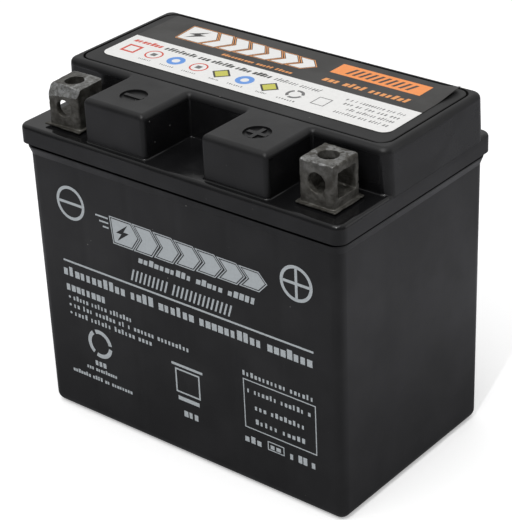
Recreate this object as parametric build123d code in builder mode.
"""Sealed lead-acid motorcycle battery, six cells in a row, with cast lead terminals at the front."""

import math
import os

from build123d import *

os.makedirs("parts", exist_ok=True)

# ---------------------------------------------------------------- driving dimensions, millimetres
# Frame: X along the long side, Y from the terminal side to the back, Z up, origin under the middle.
case_length = 113.0
case_width = 70.0
total_height = 105.0
label_thickness = 0.15
lid_top = total_height - label_thickness

# Lid skirt: the band that carries the full footprint.
seam_z = 86.5
deck_z = 91.9
skirt_corner = 3.1
skirt_round = 1.2

# Container walls stand inside the skirt and lean in slightly towards the foot; a lip flares out at their top.
wall_inset_x = 1.6
wall_inset_y = 1.45
wall_draft = 0.28  # degrees
wall_corner = 3.1
foot_round = 3.0
lip_flare = 0.85
lip_straight_z = 85.1
lip_foot_z = 82.9
lip_angle = math.degrees(math.atan(lip_flare / (lip_straight_z - lip_foot_z)))
lip_top_z = 85.45
weld_rim_inset = 0.9
inner_length = 104.8
inner_width = 61.4
inner_corner = 1.5
floor_thickness = 2.6

# Six cells divided by five partitions.
cell_count = 6
partition_thickness = 1.5
cell_width = (inner_length - (cell_count - 1) * partition_thickness) / cell_count
cell_pitch = cell_width + partition_thickness
cell_centres = [(index - (cell_count - 1) / 2) * cell_pitch for index in range(cell_count)]

# Upper part of the lid, whose ends lean in from the skirt, and the two blocks between the terminals.
body_half_length = 56.48
body_front = -14.0
body_back = 31.3
body_corner = 3.0
body_end_draft = 2.4
block_inner = 10.0
block_outer = 32.0
block_front = -32.9
block_corner = 1.3
bay_corner = 0.8
bay_foot_round = 0.5
top_round = 1.7
lid_wall = 2.4
deck_thickness = 2.0

# Round sunken polarity marks on the blocks.
mark_x = 21.5
mark_y = -23.4
mark_radius = 3.9
mark_depth = 0.7
mark_relief = 0.45
mark_arm = 6.4
mark_arm_width = 1.3

# Vent cover let into the top of the lid, over the gas chamber.
cover_thickness = 1.5
cover_half_length = 53.2
cover_front = -11.0
cover_back = 28.9
cover_corner = 3.5
cover_edge_round = 0.25
cover_gap = 0.65
chamber_half_length = 50.2
chamber_front = -8.0
chamber_back = 26.0
chamber_corner = 2.0
chamber_floor_z = 98.0
chamber_floor_thickness = 1.5

# Valve nozzles on the chamber floor and the rubber relief caps that close them.
valve_y = 9.0
nozzle_radius = 3.0
nozzle_bore = 1.5
nozzle_top_z = 101.4
cap_clearance = 0.08
cap_radius = 4.2
cap_foot_z = 98.7
cap_top_z = 102.75
cap_round = 0.5

# Porous flame arrestor, held by a notched ring under the cover.
arrestor_y = 20.0
arrestor_radius = 4.8
arrestor_thickness = 2.0
arrestor_ring_wall = 1.2
arrestor_ring_height = 2.6
arrestor_notch = 2.4

# Printed film label on the cover.
label_half_length = 50.2
label_front = -6.0
label_back = 28.3
label_corner = 3.0

# Cast lead terminals: a hollow head for a square nut, a thin foot, and a shank through the lid.
head_width = 11.0
head_round = 0.7
foot_width = 12.9
foot_z = 92.35
foot_thickness = 0.45
slot_width = 7.6
slot_bottom_z = 95.5
slot_top_z = 102.6
slot_back_wall = 2.3
slot_shift = 0.1
overcut = 1.0  # how far a cut runs past the face it opens
top_hole_radius = 2.8
positive_front_hole = (2.8, 99.1)  # radius and height of the middle
negative_front_hole = (2.55, 98.2)
shank_radius = 4.0
shank_clearance = 0.15
collar_radius = 5.0
collar_bottom_z = 88.7
collar_thickness = 0.9
shank_bottom_z = 87.6
positive_spot = (45.1, -24.0)
negative_spot = (-42.4, -24.8)
negative_turn = 3.0

# Sealing compound round each shank, in a cup under the deck.
seal_radius = 5.8
seal_bottom_z = 87.9
cup_wall = 1.5
cup_bottom_z = 87.6

# Plate groups: positive plates wrapped in glass mat, negative plates between the wraps.
positive_count = 4
positive_thickness = 1.5
negative_thickness = 1.1
mat_thickness = 0.55
plate_width = 58.0
mat_width = 60.0
rest_z = 4.4
plate_top_z = 67.0
mat_top_z = 70.0
rest_rib_width = 2.0
rest_rib_y = 15.0
lug_width = 9.0
strap_y = 22.0
strap_width = 14.0
strap_length = 15.6
strap_bottom_z = 74.0
strap_thickness = 4.0
flag_thickness = 2.2
flag_width = 12.0
flag_top_z = 86.4
weld_radius = 4.0
weld_z = 82.3


def save(part, name):
    """Label one finished piece and write its STEP file."""
    part.label = name
    export_step(part, f"parts/{name}.step")


def plan(z, x=0.0, y=0.0, turn=0.0):
    """A horizontal plane at height z, centred on (x, y) and turned about Z by turn degrees."""
    return Plane(Location((x, y, z), (0, 0, turn)))


# ---------------------------------------------------------------- container
wall_length = case_length - 2 * wall_inset_x
wall_width = case_width - 2 * wall_inset_y
lip_length = wall_length + 2 * lip_flare
lip_width = wall_width + 2 * lip_flare
lip_corner = wall_corner + lip_flare
partition_spots = [(x + cell_pitch / 2, 0) for x in cell_centres[:-1]]

with BuildPart() as container:
    # Plain walls that lean in towards the foot.
    with BuildSketch(plan(lip_foot_z)):
        RectangleRounded(wall_length, wall_width, wall_corner)
    extrude(amount=-lip_foot_z, taper=wall_draft)
    fillet(container.faces().sort_by(Axis.Z)[0].edges(), foot_round)
    # Lip: flares from the wall to a short upright band.
    with BuildSketch(plan(lip_foot_z)):
        RectangleRounded(wall_length, wall_width, wall_corner)
    extrude(amount=lip_straight_z - lip_foot_z, taper=-lip_angle)
    with BuildSketch(plan(lip_straight_z)):
        RectangleRounded(lip_length, lip_width, lip_corner)
    extrude(amount=lip_top_z - lip_straight_z)
    # Set-back rim that the lid is welded to, which leaves a narrow groove under the skirt.
    with BuildSketch(plan(lip_top_z)):
        RectangleRounded(lip_length - 2 * weld_rim_inset, lip_width - 2 * weld_rim_inset,
                         lip_corner - weld_rim_inset)
    extrude(amount=seam_z - lip_top_z)
    # One well for each cell leaves the partitions standing.
    with BuildSketch(plan(floor_thickness)):
        with Locations(*[(x, 0) for x in cell_centres]):
            RectangleRounded(cell_width, inner_width, inner_corner)
    extrude(amount=seam_z - floor_thickness, mode=Mode.SUBTRACT)
    # Low ribs that carry the plate groups.
    with BuildSketch(plan(floor_thickness)):
        with Locations((0, -rest_rib_y), (0, rest_rib_y)):
            Rectangle(inner_length, rest_rib_width)
    extrude(amount=rest_z - floor_thickness)
    # Openings in the partitions, at the back and the front by turns, for the cell-to-cell welds.
    for index, (x, _) in enumerate(partition_spots):
        side = 1 if index % 2 == 0 else -1
        with BuildSketch(Plane.YZ.offset(x)):
            with Locations((side * strap_y, weld_z)):
                Circle(weld_radius)
        extrude(amount=partition_thickness, both=True, mode=Mode.SUBTRACT)
save(container.part, "container")

# ---------------------------------------------------------------- lid
block_middle = (block_inner + block_outer) / 2
block_length = block_outer - block_inner
block_depth = body_front - block_front
terminal_spots = [negative_spot, positive_spot]
pocket_front = block_front + lid_wall
pocket_body_front = body_front + lid_wall
pocket_body_back = body_back - lid_wall
chamber_ceiling_z = lid_top - cover_thickness
pocket_ceiling_z = chamber_floor_z - chamber_floor_thickness


def cell_pocket(left, right, front, back, top):
    """Hollow out the lid from below between two lengths and two depths, up to the height top."""
    with BuildSketch(plan(seam_z)) as mouth:
        with Locations(((left + right) / 2, (front + back) / 2)):
            Rectangle(right - left, back - front)
    extrude(mouth.sketch, amount=top - seam_z, mode=Mode.SUBTRACT)


def uprights(part, area):
    """Upright edges of part whose middles lie in area, given as (x low, x high, y low, y high)."""
    x_low, x_high, y_low, y_high = area
    return part.edges().filter_by(
        lambda edge: edge.bounding_box().size.Z > block_corner
        and x_low < abs(edge.center().X) < x_high
        and y_low < edge.center().Y < y_high
    )


margin = 1.0  # slack of the boxes that pick out edges

with BuildPart() as upper_body:
    # Body and blocks in one outline, with the two end faces leaning in.
    with BuildSketch(plan(deck_z - skirt_round)):
        with Locations((0, (body_front + body_back) / 2)):
            Rectangle(2 * body_half_length, body_back - body_front)
        with Locations((-block_middle, block_front + block_depth / 2),
                       (block_middle, block_front + block_depth / 2)):
            Rectangle(block_length, block_depth)
    extrude(amount=lid_top - deck_z + skirt_round)
    ends = upper_body.faces().group_by(Axis.X)
    draft(ends[0] + ends[-1], Plane.XY.offset(deck_z - skirt_round), body_end_draft)
    body_uprights = (block_outer + margin, case_length, body_front - margin, body_back + margin)
    fillet(uprights(upper_body, body_uprights), body_corner)
    block_uprights = (0, block_outer + margin, block_front - margin, block_front + margin)
    fillet(uprights(upper_body, block_uprights), block_corner)
    bay_uprights = (0, block_outer + margin, body_front - margin, body_front + margin)
    fillet(uprights(upper_body, bay_uprights), bay_corner)

with BuildPart() as lid:
    with BuildSketch(plan(seam_z)):
        RectangleRounded(case_length, case_width, skirt_corner)
    extrude(amount=deck_z - seam_z)
    fillet(lid.faces().sort_by(Axis.Z)[-1].edges(), skirt_round)
    add(upper_body.part)
    fillet(lid.faces().sort_by(Axis.Z)[-1].edges(), top_round)
    # Small fillets where the walls of the bays meet the deck.
    deck_edges = lid.edges().filter_by_position(Axis.Z, deck_z - 0.01, deck_z + 0.01)
    bay_edges = deck_edges.filter_by_position(Axis.Y, block_front - 0.01, body_front + margin)
    fillet(bay_edges, bay_foot_round)
    # Seat for the vent cover, and the gas chamber below it.
    with BuildSketch(plan(lid_top)):
        with Locations((0, (cover_front + cover_back) / 2)):
            RectangleRounded(2 * (cover_half_length + cover_gap),
                             cover_back - cover_front + 2 * cover_gap, cover_corner + cover_gap)
    extrude(amount=-cover_thickness, mode=Mode.SUBTRACT)
    with BuildSketch(plan(chamber_floor_z)):
        with Locations((0, (chamber_front + chamber_back) / 2)):
            RectangleRounded(2 * chamber_half_length, chamber_back - chamber_front, chamber_corner)
    extrude(amount=chamber_ceiling_z - chamber_floor_z, mode=Mode.SUBTRACT)
    # Pockets over the cells; the ribs left between them carry on the partitions.
    for x in cell_centres:
        left, right = x - cell_width / 2, x + cell_width / 2
        half_width = inner_width / 2
        cell_pocket(left, right, -half_width, half_width, deck_z - deck_thickness)
        cell_pocket(left, right, pocket_body_front, pocket_body_back, pocket_ceiling_z)
        for sign in (-1, 1):
            inner, outer = sorted((sign * (block_inner + lid_wall), sign * (block_outer - lid_wall)))
            if min(right, outer) > max(left, inner):
                cell_pocket(max(left, inner), min(right, outer), pocket_front,
                            pocket_body_front, lid_top - lid_wall)
    # Valve nozzles, one over each cell.
    with BuildSketch(plan(chamber_floor_z)):
        with Locations(*[(x, valve_y) for x in cell_centres]):
            Circle(nozzle_radius)
    extrude(amount=nozzle_top_z - chamber_floor_z)
    with BuildSketch(plan(pocket_ceiling_z)):
        with Locations(*[(x, valve_y) for x in cell_centres]):
            Circle(nozzle_bore)
    extrude(amount=nozzle_top_z - pocket_ceiling_z, mode=Mode.SUBTRACT)
    # Cups for the sealing compound, and the clearance holes for the terminal shanks.
    with BuildSketch(plan(cup_bottom_z)):
        with Locations(*terminal_spots):
            Circle(seal_radius + cup_wall)
    extrude(amount=deck_z - deck_thickness - cup_bottom_z)
    with BuildSketch(plan(cup_bottom_z)):
        with Locations(*terminal_spots):
            Circle(seal_radius)
    extrude(amount=deck_z - deck_thickness - cup_bottom_z, mode=Mode.SUBTRACT)
    with BuildSketch(plan(deck_z)):
        with Locations(*terminal_spots):
            Circle(shank_radius + shank_clearance)
    extrude(amount=-deck_thickness, mode=Mode.SUBTRACT)
    # Sunken polarity marks: a minus on the left block, a plus on the right one.
    with BuildSketch(plan(lid_top)):
        with Locations((-mark_x, mark_y), (mark_x, mark_y)):
            Circle(mark_radius)
    extrude(amount=-mark_depth, mode=Mode.SUBTRACT)
    with BuildSketch(plan(lid_top - mark_depth)):
        with Locations((-mark_x, mark_y), (mark_x, mark_y)):
            Rectangle(mark_arm, mark_arm_width)
        with Locations((mark_x, mark_y)):
            Rectangle(mark_arm_width, mark_arm)
    extrude(amount=mark_relief)
save(lid.part, "lid")

# ---------------------------------------------------------------- vent cover, flame arrestor, label
cover_middle = (cover_front + cover_back) / 2
cover_depth = cover_back - cover_front
arrestor_top_z = chamber_ceiling_z

with BuildPart() as vent_cover:
    with BuildSketch(plan(chamber_ceiling_z)):
        with Locations((0, cover_middle)):
            RectangleRounded(2 * cover_half_length, cover_depth, cover_corner)
    extrude(amount=cover_thickness)
    fillet(vent_cover.faces().sort_by(Axis.Z)[-1].edges(), cover_edge_round)
    # Notched ring that holds the flame arrestor.
    with BuildSketch(plan(chamber_ceiling_z)):
        with Locations((0, arrestor_y)):
            Circle(arrestor_radius + arrestor_ring_wall)
            Circle(arrestor_radius, mode=Mode.SUBTRACT)
            Rectangle(arrestor_notch, 4 * arrestor_radius, mode=Mode.SUBTRACT)
    extrude(amount=-arrestor_ring_height)
save(vent_cover.part, "vent_cover")

with BuildPart() as flame_arrestor:
    with BuildSketch(plan(arrestor_top_z)):
        with Locations((0, arrestor_y)):
            Circle(arrestor_radius)
    extrude(amount=-arrestor_thickness)
save(flame_arrestor.part, "flame_arrestor")

with BuildPart() as top_label:
    with BuildSketch(plan(lid_top)) as outline:
        with Locations((0, (label_front + label_back) / 2)):
            Rectangle(2 * label_half_length, label_back - label_front)
        fillet(outline.vertices().group_by(Axis.Y)[0], label_corner)
    extrude(amount=label_thickness)
save(top_label.part, "top_label")

# ---------------------------------------------------------------- relief caps
for index, x in enumerate(cell_centres):
    with BuildPart() as cap:
        with BuildSketch(plan(cap_foot_z)):
            with Locations((x, valve_y)):
                Circle(cap_radius)
        extrude(amount=cap_top_z - cap_foot_z)
        fillet(cap.faces().sort_by(Axis.Z)[-1].edges(), cap_round)
        with BuildSketch(plan(cap_foot_z)):
            with Locations((x, valve_y)):
                Circle(nozzle_radius + cap_clearance)
        extrude(amount=nozzle_top_z - cap_foot_z, mode=Mode.SUBTRACT)
    save(cap.part, f"valve_cap_{index + 1}")

# ---------------------------------------------------------------- terminals and their seals


def make_terminal(spot, turn, outward, front_hole, name):
    """Cast terminal at spot, head turned by turn degrees, nut slot open towards outward (+1 or -1 in X)."""
    x, y = spot
    front_radius, front_z = front_hole
    head = plan(deck_z, x, y, turn)
    with BuildPart() as terminal:
        with BuildSketch(head):
            Rectangle(head_width, head_width)
        extrude(amount=total_height - deck_z)
        fillet(terminal.edges().filter_by(Axis.Z), head_round)
        fillet(terminal.faces().sort_by(Axis.Z)[-1].edges(), head_round)
        # Slot for the square nut.
        slot_length = head_width - slot_back_wall
        with BuildSketch(head.offset(slot_bottom_z - deck_z)):
            with Locations((outward * (slot_back_wall + overcut) / 2, slot_shift)):
                Rectangle(slot_length + overcut, slot_width)
        extrude(amount=slot_top_z - slot_bottom_z, mode=Mode.SUBTRACT)
        # Bolt holes in the top and in the front.
        with BuildSketch(head.offset(slot_top_z - deck_z - overcut)):
            Circle(top_hole_radius)
        extrude(amount=total_height - slot_top_z + 2 * overcut, mode=Mode.SUBTRACT)
        with BuildSketch(Plane(head.origin, x_dir=head.x_dir, z_dir=-head.y_dir)):
            with Locations((0, front_z - deck_z)):
                Circle(front_radius)
        extrude(amount=head_width, mode=Mode.SUBTRACT)
        # Thin foot plate just over the deck, square to the case, and the shank with its sealing collar.
        with BuildSketch(plan(foot_z, x, y)):
            Rectangle(foot_width, foot_width)
        extrude(amount=foot_thickness)
        with BuildSketch(plan(shank_bottom_z, x, y)):
            Circle(shank_radius)
        extrude(amount=deck_z - shank_bottom_z)
        with BuildSketch(plan(collar_bottom_z, x, y)):
            Circle(collar_radius)
        extrude(amount=collar_thickness)
    save(terminal.part, name)


def make_seal(spot, name):
    """Ring of sealing compound that fills the cup round the shank and its collar."""
    with BuildPart() as seal:
        with BuildSketch(plan(seal_bottom_z, *spot)):
            Circle(seal_radius)
            Circle(shank_radius, mode=Mode.SUBTRACT)
        extrude(amount=deck_z - deck_thickness - seal_bottom_z)
        with BuildSketch(plan(collar_bottom_z, *spot)):
            Circle(collar_radius)
        extrude(amount=collar_thickness, mode=Mode.SUBTRACT)
    save(seal.part, name)


make_terminal(negative_spot, negative_turn, -1, negative_front_hole, "negative_terminal")
make_terminal(positive_spot, 0.0, 1, positive_front_hole, "positive_terminal")
make_seal(negative_spot, "negative_terminal_seal")
make_seal(positive_spot, "positive_terminal_seal")

# ---------------------------------------------------------------- plate groups
negative_count = positive_count + 1
wrap_thickness = positive_thickness + 2 * mat_thickness
stack_pitch = wrap_thickness + negative_thickness
negative_offsets = [(slot - positive_count / 2) * stack_pitch for slot in range(negative_count)]
positive_offsets = [(slot - (positive_count - 1) / 2) * stack_pitch for slot in range(positive_count)]


def add_plates(centre, offsets, thickness, bottom, side):
    """Flat plates standing across the cell, each with a lug that rises to the strap on one side."""
    spots = [(centre + offset, 0) for offset in offsets]
    lug_spots = [(centre + offset, side * strap_y) for offset in offsets]
    with BuildSketch(plan(bottom)) as plates:
        with Locations(*spots):
            Rectangle(thickness, plate_width)
    extrude(plates.sketch, amount=plate_top_z - bottom)
    with BuildSketch(plan(plate_top_z)) as lugs:
        with Locations(*lug_spots):
            Rectangle(thickness, lug_width)
    extrude(lugs.sketch, amount=strap_bottom_z - plate_top_z)


def add_strap(centre, side, joined):
    """Strap over the lugs, with an upright flag on the side of the neighbour it is joined to."""
    left, right = centre - strap_length / 2, centre + strap_length / 2
    if joined > 0:
        right = centre + cell_width / 2
    if joined < 0:
        left = centre - cell_width / 2
    with BuildSketch(plan(strap_bottom_z)) as bar:
        with Locations(((left + right) / 2, side * strap_y)):
            Rectangle(right - left, strap_width)
    extrude(bar.sketch, amount=strap_thickness)
    if joined:
        flag_x = centre + joined * (cell_width - flag_thickness) / 2
        with BuildSketch(plan(strap_bottom_z + strap_thickness)) as flag:
            with Locations((flag_x, side * strap_y)):
                Rectangle(flag_thickness, flag_width)
        extrude(flag.sketch, amount=flag_top_z - strap_bottom_z - strap_thickness)


def add_post(spot):
    """Round post from the strap up to the terminal's shank."""
    with BuildSketch(plan(strap_bottom_z + strap_thickness, *spot)) as post:
        Circle(shank_radius)
    extrude(post.sketch, amount=shank_bottom_z - strap_bottom_z - strap_thickness)


for index, centre in enumerate(cell_centres):
    cell = f"cell_{index + 1}"
    negative_side = -1 if index % 2 == 0 else 1
    positive_side = -negative_side
    first, last = index == 0, index == cell_count - 1

    with BuildPart() as negative_plates:
        add_plates(centre, negative_offsets, negative_thickness, rest_z, negative_side)
    save(negative_plates.part, f"{cell}_negative_plates")

    with BuildPart() as positive_plates:
        add_plates(centre, positive_offsets, positive_thickness, rest_z + mat_thickness, positive_side)
    save(positive_plates.part, f"{cell}_positive_plates")

    # Glass mat folded under each positive plate and up both its sides.
    with BuildPart() as separators:
        with BuildSketch(plan(rest_z)):
            with Locations(*[(centre + offset, 0) for offset in positive_offsets]):
                Rectangle(wrap_thickness, mat_width)
        extrude(amount=mat_top_z - rest_z)
        with BuildSketch(plan(rest_z + mat_thickness)):
            with Locations(*[(centre + offset, 0) for offset in positive_offsets]):
                Rectangle(positive_thickness, mat_width)
        extrude(amount=mat_top_z - rest_z, mode=Mode.SUBTRACT)
    save(separators.part, f"{cell}_separators")

    with BuildPart() as negative_strap:
        add_strap(centre, negative_side, 0 if first else -1)
        if first:
            add_post(negative_spot)
    save(negative_strap.part, f"{cell}_negative_strap")

    with BuildPart() as positive_strap:
        add_strap(centre, positive_side, 0 if last else 1)
        if last:
            add_post(positive_spot)
    save(positive_strap.part, f"{cell}_positive_strap")

# ---------------------------------------------------------------- welds through the partitions
for index, (x, _) in enumerate(partition_spots):
    side = 1 if index % 2 == 0 else -1
    with BuildPart() as weld:
        with BuildSketch(Plane.YZ.offset(x)):
            with Locations((side * strap_y, weld_z)):
                Circle(weld_radius)
        extrude(amount=partition_thickness / 2, both=True)
    save(weld.part, f"intercell_weld_{index + 1}")
